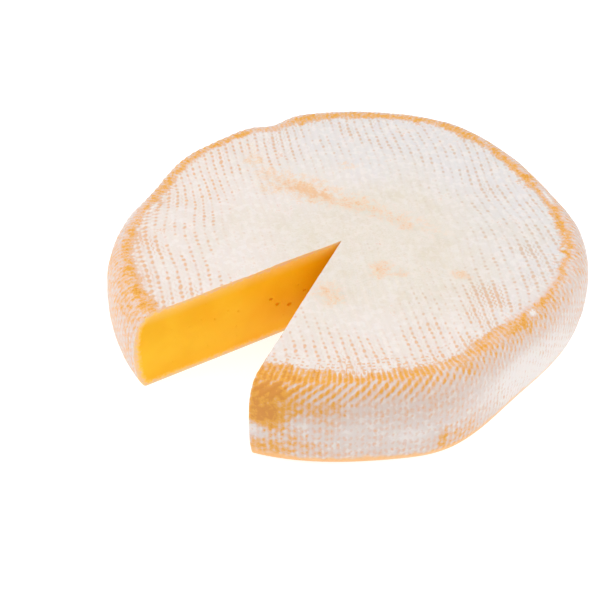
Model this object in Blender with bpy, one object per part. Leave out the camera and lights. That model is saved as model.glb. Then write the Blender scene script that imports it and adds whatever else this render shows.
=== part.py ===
"""A reblochon, a small washed-rind cheese, with one wedge cut out and taken away.

The cheese is one solid. Its body is a turned profile: a flat base, a foot that tucks in a little,
a side that bellies slightly, a soft shoulder and a nearly flat top. The profile's radius then
follows an outline that is not quite round, because the curd was drained in a cloth, and dents
from the cloth's folds are pressed into it. A knife took out the wedge, so the two cut faces are
plane and meet in a sharp inner edge. The small round holes in them are the paste's eyes.

Metres, +Z up. The origin is in the plane of the base, under the middle of the body's outline.
"""

import math
from typing import NamedTuple

import bmesh
import bpy
from mathutils import Matrix, Vector

MM = 0.001

# Driving dimensions of the whole cheese.
RADIUS = 75.0 * MM
THICKNESS = 28.5 * MM
BELLY_HEIGHT = 0.42 * THICKNESS
SHOULDER_INSET = 7.0 * MM
SHOULDER_POWER = 3.2
FOOT_TUCK = 2.4 * MM

# The steps that the body's mesh is made in.
TURN_STEPS = 150
FOOT_STEPS = 6
SHOULDER_STEPS = 11
TOP_RINGS = 8

# The top sags a little in the middle, and a low swell runs across it.
TOP_SAG = 0.35 * MM
SAG_RADIUS = 38.0 * MM
TOP_SWELL = 0.22 * MM
SWELL_LENGTH = 74.0 * MM
SWELL_HEADING = math.radians(-24.0)

# The belly stands out further on some sides than on others.
BELLY_UNEVEN = 0.45 * MM
BELLY_LOBES = 3
BELLY_CREST = math.radians(-20.0)

# The wedge was cut with its point near the middle of the cheese.
WEDGE_POINT = Vector((-1.8 * MM, -3.7 * MM))
LEFT_CUT = math.radians(211.0)
RIGHT_CUT = math.radians(247.4)
KNIFE_REACH = 110.0 * MM
KNIFE_CLEARANCE = 6.0 * MM


class Lobes(NamedTuple):
    """A wave round the outline: how many crests, how high, and the angle of one of them."""

    count: int
    height: float
    crest: float


class Dent(NamedTuple):
    """One place where the cloth pressed the rind in (or, below zero, let it stand out).

    Its depth at the foot is foot_share of its depth at the shoulder.
    """

    angle: float
    depth: float
    spread: float
    foot_share: float


class Eye(NamedTuple):
    """A hole in a cut face: its place from the wedge's point and from the base, and its size."""

    reach: float
    height: float
    width: float
    depth: float


OUTLINE = (
    Lobes(2, 2.4 * MM, math.radians(45.0)),
    Lobes(3, 0.6 * MM, math.radians(90.0)),
    Lobes(4, 0.8 * MM, math.radians(0.0)),
    Lobes(5, 0.35 * MM, math.radians(-10.0)),
    Lobes(6, 0.85 * MM, math.radians(-3.5)),
    Lobes(7, 0.25 * MM, math.radians(-5.0)),
)

DENTS = {
    "back fold": Dent(math.radians(111.0), 3.3 * MM, math.radians(3.9), 0.35),
    "back left ridge": Dent(math.radians(142.0), -1.2 * MM, math.radians(6.4), 0.6),
    "left flat": Dent(math.radians(163.5), 1.8 * MM, math.radians(8.5), 0.8),
    "back flat": Dent(math.radians(78.0), 0.7 * MM, math.radians(8.5), 0.6),
    "right flat": Dent(math.radians(-45.0), 1.3 * MM, math.radians(9.7), 1.0),
    "front corner": Dent(math.radians(-69.0), -1.25 * MM, math.radians(7.2), 1.0),
}

LEFT_EYES = (
    Eye(26.0 * MM, 15.4 * MM, 1.5 * MM, 0.8 * MM),
    Eye(23.7 * MM, 12.4 * MM, 1.6 * MM, 0.8 * MM),
    Eye(19.3 * MM, 10.4 * MM, 1.8 * MM, 0.9 * MM),
    Eye(13.7 * MM, 13.9 * MM, 1.3 * MM, 0.7 * MM),
)

RIGHT_EYES = (
    Eye(5.4 * MM, 21.0 * MM, 1.2 * MM, 0.7 * MM),
    Eye(12.8 * MM, 20.2 * MM, 1.5 * MM, 0.8 * MM),
    Eye(15.3 * MM, 12.3 * MM, 2.0 * MM, 1.0 * MM),
    Eye(24.7 * MM, 12.3 * MM, 2.3 * MM, 1.1 * MM),
    Eye(31.0 * MM, 22.4 * MM, 1.6 * MM, 0.8 * MM),
    Eye(32.0 * MM, 18.4 * MM, 1.6 * MM, 0.8 * MM),
    Eye(41.2 * MM, 8.8 * MM, 1.3 * MM, 0.7 * MM),
    Eye(42.4 * MM, 14.7 * MM, 1.5 * MM, 0.8 * MM),
    Eye(45.5 * MM, 20.0 * MM, 1.7 * MM, 0.8 * MM),
)


def smooth(value, low, high):
    """0 below low, 1 above high, and a soft rise between them."""
    share = min(max((value - low) / (high - low), 0.0), 1.0)
    return share * share * (3.0 - 2.0 * share)


def bell(angle, centre, spread):
    """1 at the centre angle, falling off to both sides over the spread."""
    away = (angle - centre + math.pi) % math.tau - math.pi
    return math.exp(-0.5 * (away / spread) ** 2)


def outline_radius(angle, height):
    """How far the belly line stands from the axis at this angle, for a point this high."""
    up = smooth(height, 0.0, THICKNESS)
    radius = RADIUS
    for wave in OUTLINE:
        radius += wave.height * math.cos(wave.count * (angle - wave.crest))
    for dent in DENTS.values():
        share = dent.foot_share + (1.0 - dent.foot_share) * up
        radius -= dent.depth * share * bell(angle, dent.angle, dent.spread)
    lobes = math.cos(BELLY_LOBES * (angle - BELLY_CREST))
    return radius + BELLY_UNEVEN * lobes * math.sin(math.pi * min(height / THICKNESS, 1.0))


def top_relief(x, y):
    """The height of the top's surface over a plane, at a place in plan."""
    sag = -TOP_SAG * math.exp(-0.5 * (x * x + y * y) / SAG_RADIUS**2)
    along = x * math.cos(SWELL_HEADING) + y * math.sin(SWELL_HEADING)
    return sag + TOP_SWELL * math.cos(math.tau * along / SWELL_LENGTH)


def profile():
    """The half section, from the middle of the base, up the side and back to the axis."""
    points = [Vector((0.0, 0.0, 0.0))]
    for step in range(FOOT_STEPS, -1, -1):
        turn = 0.5 * math.pi * step / FOOT_STEPS
        inset = FOOT_TUCK * (1.0 - math.cos(turn))
        points.append(Vector((RADIUS - inset, 0.0, BELLY_HEIGHT * (1.0 - math.sin(turn)))))
    rise = THICKNESS - BELLY_HEIGHT
    for step in range(1, SHOULDER_STEPS + 1):
        turn = 0.5 * math.pi * step / SHOULDER_STEPS
        inset = SHOULDER_INSET * (1.0 - math.cos(turn))
        height = BELLY_HEIGHT + rise * math.sin(turn) ** (2.0 / SHOULDER_POWER)
        points.append(Vector((RADIUS - inset, 0.0, height)))
    plateau = RADIUS - SHOULDER_INSET
    for ring in range(1, TOP_RINGS + 1):
        points.append(Vector((plateau * (1.0 - ring / TOP_RINGS), 0.0, THICKNESS)))
    return points


def shape_body(bm):
    """Moves the turned body's points out to the uneven outline, and gives the top its relief."""
    for vert in bm.verts:
        x, y, z = vert.co
        reach = math.hypot(x, y)
        if reach > 0.0:
            angle = math.atan2(y, x)
            scale = outline_radius(angle, z) / RADIUS
            x, y = x * scale, y * scale
        lift = top_relief(x, y) * smooth(z, 0.75 * THICKNESS, THICKNESS)
        vert.co = Vector((x, y, z + lift))


def plan_centre(bm):
    """The middle of the body's box in plan, which goes over the origin."""
    xs = [vert.co.x for vert in bm.verts]
    ys = [vert.co.y for vert in bm.verts]
    return Vector((0.5 * (min(xs) + max(xs)), 0.5 * (min(ys) + max(ys)), 0.0))


def finish_mesh(bm, name, material):
    """Makes a mesh object of bm, with one material, and links it to the scene."""
    bmesh.ops.recalc_face_normals(bm, faces=bm.faces)
    mesh = bpy.data.meshes.new(name)
    bm.to_mesh(mesh)
    bm.free()
    mesh.materials.append(material)
    obj = bpy.data.objects.new(name, mesh)
    bpy.context.scene.collection.objects.link(obj)
    return obj


def make_material(name, colour, roughness):
    """A Principled BSDF with one colour."""
    material = bpy.data.materials.new(name)
    material.use_nodes = True
    shader = material.node_tree.nodes["Principled BSDF"]
    shader.inputs["Base Color"].default_value = (*colour, 1.0)
    shader.inputs["Roughness"].default_value = roughness
    shader.inputs["Metallic"].default_value = 0.0
    material.diffuse_color = (*colour, 1.0)
    return material


def make_body(material):
    """The whole cheese before it was cut, and where its axis stands."""
    bm = bmesh.new()
    verts = [bm.verts.new(point) for point in profile()]
    edges = [bm.edges.new(pair) for pair in zip(verts, verts[1:])]
    bmesh.ops.spin(
        bm,
        geom=verts + edges,
        cent=(0.0, 0.0, 0.0),
        axis=(0.0, 0.0, 1.0),
        angle=math.tau,
        steps=TURN_STEPS,
    )
    bmesh.ops.remove_doubles(bm, verts=bm.verts, dist=0.001 * MM)
    shape_body(bm)
    centre = plan_centre(bm)
    bmesh.ops.translate(bm, verts=bm.verts, vec=-centre)
    return finish_mesh(bm, "reblochon", material), -centre


def make_knife(axis, material):
    """The wedge-shaped block that the knife took out, reaching past the rind all round."""
    bm = bmesh.new()
    point = axis + WEDGE_POINT.to_3d() - Vector((0.0, 0.0, KNIFE_CLEARANCE))
    corners = [point]
    for angle in (LEFT_CUT, RIGHT_CUT):
        corners.append(point + KNIFE_REACH * Vector((math.cos(angle), math.sin(angle), 0.0)))
    face = bm.faces.new([bm.verts.new(corner) for corner in corners])
    grown = bmesh.ops.extrude_face_region(bm, geom=[face])
    lifted = [item for item in grown["geom"] if isinstance(item, bmesh.types.BMVert)]
    height = THICKNESS + 2.0 * KNIFE_CLEARANCE
    bmesh.ops.translate(bm, verts=lifted, vec=(0.0, 0.0, height))
    return finish_mesh(bm, "knife", material)


def make_eyes(axis, material):
    """Small flattened balls centred on the two cut faces, each of which leaves half its hollow."""
    bm = bmesh.new()
    for angle, eyes in ((LEFT_CUT, LEFT_EYES), (RIGHT_CUT, RIGHT_EYES)):
        heading = Vector((math.cos(angle), math.sin(angle), 0.0))
        turn = Matrix.Rotation(angle, 4, "Z")
        for eye in eyes:
            place = axis + WEDGE_POINT.to_3d() + eye.reach * heading
            place.z = eye.height
            size = Matrix.Diagonal((0.5 * eye.width, eye.depth, 0.4 * eye.width, 1.0))
            bmesh.ops.create_icosphere(
                bm, subdivisions=2, radius=1.0, matrix=Matrix.Translation(place) @ turn @ size
            )
    return finish_mesh(bm, "eyes", material)


def cut(body, cutter):
    """Takes the cutter's volume out of the body, and removes the cutter."""
    cutter.hide_render = True
    cutter.display_type = "WIRE"
    boolean = body.modifiers.new(f"cut by {cutter.name}", "BOOLEAN")
    boolean.operation = "DIFFERENCE"
    boolean.solver = "EXACT"
    boolean.material_mode = "TRANSFER"
    boolean.object = cutter
    bpy.context.view_layer.objects.active = body
    bpy.ops.object.modifier_apply(modifier=boolean.name)
    bpy.data.objects.remove(cutter, do_unlink=True)


def main():
    for obj in list(bpy.data.objects):
        bpy.data.objects.remove(obj, do_unlink=True)
    rind = make_material("rind", (0.80, 0.62, 0.50), 0.75)
    paste = make_material("paste", (0.90, 0.42, 0.05), 0.45)
    cheese, axis = make_body(rind)
    cut(cheese, make_knife(axis, paste))
    cut(cheese, make_eyes(axis, paste))
    cheese.data.shade_smooth()
    cheese.data.set_sharp_from_angle(angle=math.radians(32.0))


main()
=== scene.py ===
"""The looks of a reblochon with one wedge cut out of it.

The cheese is modelled as it is made: a wheel is turned, its outline is pressed uneven by the
draining cloth, the cloth's threads are printed into the rind, and a knife takes the wedge out.
One closed mesh holds the rind and the paste. Lengths are in metres, unless a note says otherwise.
"""

import logging
import math
from dataclasses import dataclass, field
from enum import Enum

import bpy
import numpy as np
from mathutils import Matrix, Vector


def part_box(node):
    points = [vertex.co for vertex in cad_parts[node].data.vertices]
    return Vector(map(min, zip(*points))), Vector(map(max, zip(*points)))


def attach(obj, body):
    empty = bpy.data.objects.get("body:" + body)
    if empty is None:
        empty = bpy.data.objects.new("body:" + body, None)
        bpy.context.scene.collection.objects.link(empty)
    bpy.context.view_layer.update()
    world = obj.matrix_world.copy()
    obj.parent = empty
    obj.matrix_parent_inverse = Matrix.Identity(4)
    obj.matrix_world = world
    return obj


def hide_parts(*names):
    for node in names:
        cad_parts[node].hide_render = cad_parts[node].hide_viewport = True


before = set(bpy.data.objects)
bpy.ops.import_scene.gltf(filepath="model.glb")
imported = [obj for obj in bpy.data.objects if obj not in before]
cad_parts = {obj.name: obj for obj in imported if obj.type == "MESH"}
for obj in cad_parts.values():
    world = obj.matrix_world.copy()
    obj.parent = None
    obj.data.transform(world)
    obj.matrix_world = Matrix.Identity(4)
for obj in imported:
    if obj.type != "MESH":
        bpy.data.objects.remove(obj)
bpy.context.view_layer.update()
CAD_NODE = "reblochon"

MM = 0.001
CLOTH_MAP = "cloth"
WEAVE_MAP = "weave"
WHITE = (1.0, 1.0, 1.0, 1.0)
Pair = tuple[float, float]
Colour = tuple[float, float, float, float]
log = logging.getLogger("reblochon")


# ------------------------------------------------------------------ small helpers


def smooth(value: np.ndarray, low: float, high: float) -> np.ndarray:
    """A soft rise from 0 below low to 1 above high, or a fall where high is the lower.

    Args:
        value: The numbers to judge.
        low: Where the result is 0.
        high: Where the result is 1.

    Returns:
        Numbers from 0 to 1.
    """
    share = np.clip((value - low) / (high - low), 0.0, 1.0)
    return share * share * (3.0 - 2.0 * share)


def bell(angle: np.ndarray, centre_deg: float, spread_deg: float) -> np.ndarray:
    """1 at an angle round the cheese, falling off to both sides.

    Args:
        angle: Angles in radians.
        centre_deg: The middle of the bell, in degrees.
        spread_deg: Its standard deviation, in degrees.

    Returns:
        Numbers from 0 to 1.
    """
    away = (angle - math.radians(centre_deg) + math.pi) % math.tau - math.pi
    return np.exp(-0.5 * (away / math.radians(spread_deg)) ** 2)


def rows_of(kind: type, *rows: tuple[float, ...]) -> tuple:
    """One thing of a kind from each row of its values."""
    return tuple(kind(*row) for row in rows)


@dataclass(frozen=True)
class Ripples:
    """Smooth, seeded unevenness: a sum of plane waves in many directions.

    It has the number of its draw, the middle wavelength in the points' unit, and its height.
    """

    seed: int
    wavelength: float
    height: float = 1.0
    waves: int = 14
    wavelengths: Pair = (0.7, 1.5)

    def at(self, points: np.ndarray) -> np.ndarray:
        """The unevenness at some points, mostly within its height of 0.

        Args:
            points: The points as rows of x, y and z.

        Returns:
            One height for each point.
        """
        rng = np.random.default_rng(self.seed)
        headings = rng.normal(size=(self.waves, 3))
        headings /= np.linalg.norm(headings, axis=1)[:, None]
        lengths = self.wavelength * rng.uniform(*self.wavelengths, self.waves)
        vectors = math.tau * headings / lengths[:, None]
        phases = rng.uniform(0.0, math.tau, self.waves)
        total = np.zeros(len(points))
        for vector, phase in zip(vectors, phases):
            total += np.sin(points @ vector + phase)
        return self.height * (total / math.sqrt(self.waves))


# ------------------------------------------------------------------ the cheese's form


@dataclass(frozen=True)
class Lobes:
    """A wave round the outline: how many crests, how high, and the angle of one of them."""

    count: int
    height: float
    crest_deg: float


@dataclass(frozen=True)
class Dent:
    """Where the cloth pressed the rind in, or, below zero, let it stand out."""

    angle_deg: float
    depth: float
    spread_deg: float
    foot_share: float


@dataclass(frozen=True)
class Outline:
    """The cheese's plan: a circle, waves round it and dents in it."""

    radius: float = 75.0 * MM
    thickness: float = 28.5 * MM
    lobes: tuple[Lobes, ...] = (
        Lobes(2, 2.4 * MM, 45.0),
        Lobes(3, 0.6 * MM, 90.0),
        Lobes(4, 0.8 * MM, 0.0),
        Lobes(5, 0.35 * MM, -10.0),
        Lobes(6, 0.85 * MM, -3.5),
        Lobes(7, 0.25 * MM, -5.0),
    )
    dents: tuple[Dent, ...] = (
        Dent(111.0, 3.3 * MM, 3.9, 0.35),
        Dent(142.0, -1.2 * MM, 6.4, 0.6),
        Dent(163.5, 1.8 * MM, 8.5, 0.8),
        Dent(78.0, 0.7 * MM, 8.5, 0.6),
        Dent(-45.0, 1.3 * MM, 9.7, 1.0),
        Dent(-69.0, -1.25 * MM, 7.2, 1.0),
    )
    belly_uneven: float = 0.45 * MM
    belly_lobes: int = 3
    belly_crest_deg: float = -20.0

    def radius_at(self, angle: np.ndarray, height: np.ndarray) -> np.ndarray:
        """How far the belly line stands from the axis.

        Args:
            angle: Angles round the axis, in radians.
            height: Heights over the base.

        Returns:
            Radii.
        """
        up = smooth(height, 0.0, self.thickness)
        radius = np.full_like(angle, self.radius)
        for wave in self.lobes:
            turn = angle - math.radians(wave.crest_deg)
            radius += wave.height * np.cos(wave.count * turn)
        for dent in self.dents:
            share = dent.foot_share + (1.0 - dent.foot_share) * up
            radius -= dent.depth * share * bell(angle, dent.angle_deg, dent.spread_deg)
        lobes = np.cos(self.belly_lobes * (angle - math.radians(self.belly_crest_deg)))
        bulge = np.sin(math.pi * np.clip(height / self.thickness, 0.0, 1.0))
        return radius + self.belly_uneven * lobes * bulge


@dataclass(frozen=True)
class Section:
    """The half section that the wheel is turned from."""

    radius: float = 75.0 * MM
    thickness: float = 28.5 * MM
    belly_share: float = 0.42
    shoulder_inset: float = 7.0 * MM
    shoulder_power: float = 3.2
    foot_tuck: float = 2.4 * MM
    points_below: int = 60
    points_above: int = 240
    hair: float = 0.001 * MM
    batch: int = 4096

    @property
    def belly(self) -> float:
        """The height of the widest line."""
        return self.belly_share * self.thickness

    @property
    def plateau(self) -> float:
        """The radius at which the top turns into the shoulder."""
        return self.radius - self.shoulder_inset

    @property
    def foot(self) -> float:
        """The radius of the flat base."""
        return self.radius - self.foot_tuck

    def curve(self) -> np.ndarray:
        """Closely spaced points from the foot to the plateau, as radius and height.

        Returns:
            The points as rows of radius and height.
        """
        quarter = 0.5 * math.pi
        fall = quarter * np.linspace(1.0, 0.0, self.points_below, endpoint=False)
        rise = quarter * np.linspace(0.0, 1.0, self.points_above)
        bulge = np.sin(rise) ** (2.0 / self.shoulder_power)
        below = (self.foot_tuck * (1.0 - np.cos(fall)), self.belly * (1.0 - np.sin(fall)))
        above = (
            self.shoulder_inset * (1.0 - np.cos(rise)),
            self.belly + (self.thickness - self.belly) * bulge,
        )
        inset, height = np.hstack([below, above])
        return np.column_stack([self.radius - inset, height])

    def measured(self) -> tuple[np.ndarray, np.ndarray]:
        """The curve, and the length along it to each of its points."""
        curve = self.curve()
        return curve, np.r_[0.0, np.cumsum(np.hypot(*np.diff(curve, axis=0).T))]

    def even_side(self, step: float) -> np.ndarray:
        """Points along the side from the foot to the plateau, a step apart.

        Args:
            step: How far apart the points lie.

        Returns:
            The points as rows of radius and height.
        """
        curve, lengths = self.measured()
        count = max(2, round(lengths[-1] / step))
        places = np.linspace(0.0, lengths[-1], count + 1)
        return np.column_stack([np.interp(places, lengths, column) for column in curve.T])

    def down(self, reach: np.ndarray, height: np.ndarray) -> np.ndarray:
        """The way along the skin from the plateau's edge: below zero on the top, more going down.

        Args:
            reach: Distances from the axis on the turned wheel.
            height: Heights on the turned wheel.

        Returns:
            Lengths along the skin.
        """
        curve, lengths = self.measured()
        side = lengths[-1] - np.interp(height, curve[:, 1], lengths)
        result = np.where(height >= self.thickness - self.hair, reach - self.plateau, side)
        return np.where(height <= self.hair, lengths[-1] + self.foot - reach, result)

    def nearest(self, reach: np.ndarray, height: np.ndarray) -> tuple[np.ndarray, np.ndarray]:
        """The distance to the nearest point of the side's curve, and that point's place along it.

        Args:
            reach: Distances from the axis on the turned wheel.
            height: Heights on the turned wheel.

        Returns:
            Distances, and lengths along the skin down from the plateau's edge.
        """
        curve, lengths = self.measured()
        away, along = np.empty(len(reach)), np.empty(len(reach))
        for start in range(0, len(reach), self.batch):
            part = slice(start, start + self.batch)
            gaps = np.hypot(
                reach[part, None] - curve[None, :, 0], height[part, None] - curve[None, :, 1]
            )
            index = gaps.argmin(axis=1)
            away[part] = gaps[np.arange(len(index)), index]
            along[part] = lengths[-1] - lengths[index]
        return away, along


@dataclass(frozen=True)
class Cut:
    """The knife's two strokes, which meet at the wedge's point."""

    point: Pair = (-1.8 * MM, -3.7 * MM)
    left_deg: float = 211.0
    right_deg: float = 247.4
    reach: float = 86.0 * MM
    clearance: float = 4.0 * MM


@dataclass(frozen=True)
class Eye:
    """A hole in a cut face: its place from the wedge's point and from the base, and its size."""

    reach: float
    height: float
    width: float
    depth: float


def eyes_at(*rows: tuple[float, float, float, float]) -> tuple[Eye, ...]:
    """Eyes from rows of their values in millimetres."""
    return tuple(Eye(*(value * MM for value in row)) for row in rows)


LEFT_EYES = eyes_at(
    (26.0, 15.4, 1.5, 0.8), (23.7, 12.4, 1.6, 0.8), (19.3, 10.4, 1.8, 0.9), (13.7, 13.9, 1.3, 0.7)
)
RIGHT_EYES = eyes_at(
    (5.4, 21.0, 1.2, 0.7), (12.8, 20.2, 1.5, 0.8), (15.3, 12.3, 2.0, 1.0),
    (24.7, 12.3, 2.3, 1.1), (31.0, 22.4, 1.6, 0.8), (32.0, 18.4, 1.6, 0.8),
    (41.2, 8.8, 1.3, 0.7), (42.4, 14.7, 1.5, 0.8), (45.5, 20.0, 1.7, 0.8),
)


# ------------------------------------------------------------------ hand tools


def deselect() -> None:
    """Leaves object mode and selects nothing."""
    if bpy.context.object and bpy.context.object.mode != "OBJECT":
        bpy.ops.object.mode_set(mode="OBJECT")
    bpy.ops.object.select_all(action="DESELECT")


def activate(obj: bpy.types.Object) -> None:
    """Selects one object and makes it active.

    Args:
        obj: The object.
    """
    deselect()
    obj.select_set(True)
    bpy.context.view_layer.objects.active = obj


def join(made: list[bpy.types.Object], name: str) -> bpy.types.Object:
    """Makes one object of several, and names it.

    Args:
        made: The objects, each with its own mesh.
        name: The new object's name.

    Returns:
        The joined object, active.
    """
    activate(made[0])
    for obj in made:
        obj.select_set(True)
    bpy.ops.object.join()
    made[0].name = made[0].data.name = name
    return made[0]


def points_of(obj: bpy.types.Object) -> np.ndarray:
    """The object's vertices as rows of x, y and z.

    Args:
        obj: The object, in object mode.

    Returns:
        The places, in the mesh's own axes.
    """
    flat = np.empty(3 * len(obj.data.vertices))
    obj.data.vertices.foreach_get("co", flat)
    return flat.reshape(-1, 3)


def move_points(obj: bpy.types.Object, points: np.ndarray) -> None:
    """Gives the object's vertices new places."""
    obj.data.vertices.foreach_set("co", points.ravel())
    obj.data.update()


def normals_of(obj: bpy.types.Object) -> np.ndarray:
    """The vertices' normals as rows.

    Args:
        obj: The object, in object mode.

    Returns:
        The normals, in the mesh's own axes.
    """
    flat = np.empty(3 * len(obj.data.vertices), np.float32)
    obj.data.vertex_normals.foreach_get("vector", flat)
    return flat.reshape(-1, 3).astype(float)


def pick_edges(obj: bpy.types.Object, wanted: np.ndarray) -> None:
    """Selects, in edit mode, the edges whose two ends are both wanted.

    Args:
        obj: The active object, in any mode.
        wanted: One flag for each vertex.
    """
    bpy.ops.object.mode_set(mode="OBJECT")
    mesh = obj.data
    ends = np.empty(2 * len(mesh.edges), np.int32)
    mesh.edges.foreach_get("vertices", ends)
    ends = ends.reshape(-1, 2)
    mesh.polygons.foreach_set("select", np.zeros(len(mesh.polygons), bool))
    mesh.vertices.foreach_set("select", wanted)
    mesh.edges.foreach_set("select", wanted[ends].all(axis=1))
    bpy.ops.object.mode_set(mode="EDIT")
    bpy.context.tool_settings.mesh_select_mode = (False, True, False)


def apply_boolean(body: bpy.types.Object, cutter: bpy.types.Object) -> None:
    """Takes the cutter's volume out of the body, and removes the cutter.

    Args:
        body: What is cut.
        cutter: A closed solid with the cut face's material.
    """
    activate(body)
    boolean = body.modifiers.new("cut", "BOOLEAN")
    boolean.operation = "DIFFERENCE"
    boolean.solver = "MANIFOLD"
    boolean.material_mode = "TRANSFER"
    boolean.object = cutter
    bpy.ops.object.modifier_apply(modifier=boolean.name)
    bpy.data.objects.remove(cutter, do_unlink=True)


# ------------------------------------------------------------------ the wheel


@dataclass
class Wheel:
    """The whole cheese as it came out of its cloth, before the knife."""

    outline: Outline = field(default_factory=Outline)
    section: Section = field(default_factory=Section)
    side_step: float = 0.64 * MM
    rim_steps: int = 1000
    sectors: int = 25
    zones: tuple[tuple[float, float, int], ...] = (
        (50.0 * MM, 0.76 * MM, 1),
        (27.0 * MM, 0.90 * MM, 2),
        (10.0 * MM, 0.95 * MM, 4),
        (0.0, 1.1 * MM, 8),
    )
    base_ring: float = 3.4 * MM
    base_share: int = 5
    sag: float = 0.35 * MM
    sag_radius: float = 38.0 * MM
    swell: float = 0.22 * MM
    swell_length: float = 74.0 * MM
    swell_heading_deg: float = -24.0
    swell_from: float = 0.75
    weld: float = 0.005 * MM
    level_gap: float = 0.01 * MM
    ring_gap: float = 0.02 * MM
    middle: Vector = field(default_factory=Vector)

    def build(self) -> bpy.types.Object:
        """Turns the wheel, closes its base and shapes it.

        Returns:
            The wheel, standing on its axis, with its map of the cloth.
        """
        obj = self.turn()
        self.lay_cloth_map(obj)
        self.press(obj)
        return obj

    def turn(self) -> bpy.types.Object:
        """Spins the half section in zones of fewer and fewer steps, and bridges them.

        Returns:
            The closed wheel, still exactly round, in object mode.
        """
        top = self.section.thickness
        line = [tuple(point) for point in self.section.even_side(self.side_step)]
        foot = line[0][0]
        seams: list[tuple[float, float, float]] = []
        made = []
        start = self.section.plateau
        for end, step, share in self.zones:
            count = max(1, round((start - end) / step))
            line += [(reach, top) for reach in np.linspace(start, end, count + 1)]
            made.append(self.spin_line(line, self.rim_steps // share))
            seams.append((end, end - step, top))
            start, line = end - step, []
        inner = foot - self.base_ring
        count = round(inner / self.base_ring)
        line = [(reach, 0.0) for reach in np.linspace(0.0, inner, count + 1)]
        made.append(self.spin_line(line, self.rim_steps // self.base_share))
        seams[-1] = (foot, inner, 0.0)
        obj = join(made, "cheese")
        for outer, within, height in seams:
            self.bridge(obj, outer, within, height)
        bpy.ops.mesh.select_all(action="SELECT")
        bpy.ops.mesh.normals_make_consistent(inside=False)
        bpy.ops.object.mode_set(mode="OBJECT")
        return obj

    def spin_line(self, line: list[Pair], steps: int) -> bpy.types.Object:
        """Extrudes a line of points from one vertex and spins it round the axis.

        Args:
            line: The points, as radius and height.
            steps: How many steps the full turn takes.

        Returns:
            The turned zone, its ends merged.
        """
        deselect()
        bpy.ops.mesh.primitive_plane_add(size=1.0 * MM)
        obj = bpy.context.object
        bpy.ops.object.mode_set(mode="EDIT")
        bpy.ops.mesh.merge(type="CENTER")
        last = (0.0, 0.0)
        for number, this in enumerate(line):
            step = (this[0] - last[0], 0.0, this[1] - last[1])
            if number == 0:
                bpy.ops.transform.translate(value=step)
            elif step != (0.0, 0.0, 0.0):
                bpy.ops.mesh.extrude_region_move(TRANSFORM_OT_translate={"value": step})
            last = this
        sector = math.tau / self.sectors
        bpy.ops.mesh.select_all(action="SELECT")
        self.spin(steps // self.sectors, sector, copies=False)
        bpy.ops.mesh.select_all(action="SELECT")
        self.spin(self.sectors - 1, math.tau - sector, copies=True)
        bpy.ops.mesh.select_all(action="SELECT")
        bpy.ops.mesh.remove_doubles(threshold=self.weld)
        bpy.ops.object.mode_set(mode="OBJECT")
        return obj

    @staticmethod
    def spin(steps: int, angle: float, copies: bool) -> None:
        """Spins the selection round the axis, drawn out as a surface or as copies.

        Args:
            steps: How many steps the turn takes.
            angle: How far it turns, in radians.
            copies: Whether the selection is copied at each step and not drawn out.
        """
        bpy.ops.mesh.spin(
            steps=steps, dupli=copies, angle=angle, center=(0.0, 0.0, 0.0), axis=(0.0, 0.0, 1.0)
        )

    def bridge(self, obj: bpy.types.Object, outer: float, inner: float, height: float) -> None:
        """Joins two rings of different step counts by a strip of faces.

        Args:
            obj: The wheel, active; it is left in edit mode.
            outer: The outer ring's radius.
            inner: The inner ring's radius.
            height: The height of both.
        """
        bpy.ops.object.mode_set(mode="OBJECT")
        x, y, z = points_of(obj).T
        reach = np.hypot(x, y)
        level = np.abs(z - height) < self.level_gap
        rings = np.minimum(np.abs(reach - outer), np.abs(reach - inner)) < self.ring_gap
        pick_edges(obj, level & rings)
        bpy.ops.mesh.bridge_edge_loops()

    def lay_cloth_map(self, obj: bpy.types.Object) -> None:
        """Stores, as UV maps, where each corner lies under the cloth.

        The map called cloth holds the turn round the axis and the way down the skin, and the one
        called weave holds the counts of thread columns and rows across the top.

        Args:
            obj: The turned wheel, still exactly round.
        """
        mesh = obj.data
        x, y, z = points_of(obj).T
        turns = np.arctan2(y, x) / math.tau
        down = self.section.down(np.hypot(x, y), z) / MM
        corners = np.empty(len(mesh.loops), np.int32)
        mesh.loops.foreach_get("vertex_index", corners)
        starts = np.empty(len(mesh.polygons), np.int32)
        mesh.polygons.foreach_get("loop_start", starts)
        sizes = np.empty(len(mesh.polygons), np.int32)
        mesh.polygons.foreach_get("loop_total", sizes)
        leaders = np.repeat(turns[corners[starts]], sizes)
        corner_turns = turns[corners]
        corner_turns += np.round(leaders - corner_turns)
        columns, rows = Weave.counts(x / MM, y / MM)
        self.store_map(mesh, CLOTH_MAP, corner_turns, down[corners])
        self.store_map(mesh, WEAVE_MAP, columns[corners], rows[corners])

    @staticmethod
    def store_map(mesh: bpy.types.Mesh, name: str, first: np.ndarray, second: np.ndarray) -> None:
        """Adds a UV map with these two values at every corner.

        Args:
            mesh: The wheel's mesh.
            name: The map's name.
            first: The map's first value at each corner.
            second: Its second value.
        """
        layer = mesh.uv_layers.new(name=name)
        pairs = np.column_stack([first, second]).astype(np.float32)
        layer.data.foreach_set("uv", pairs.ravel())

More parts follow.
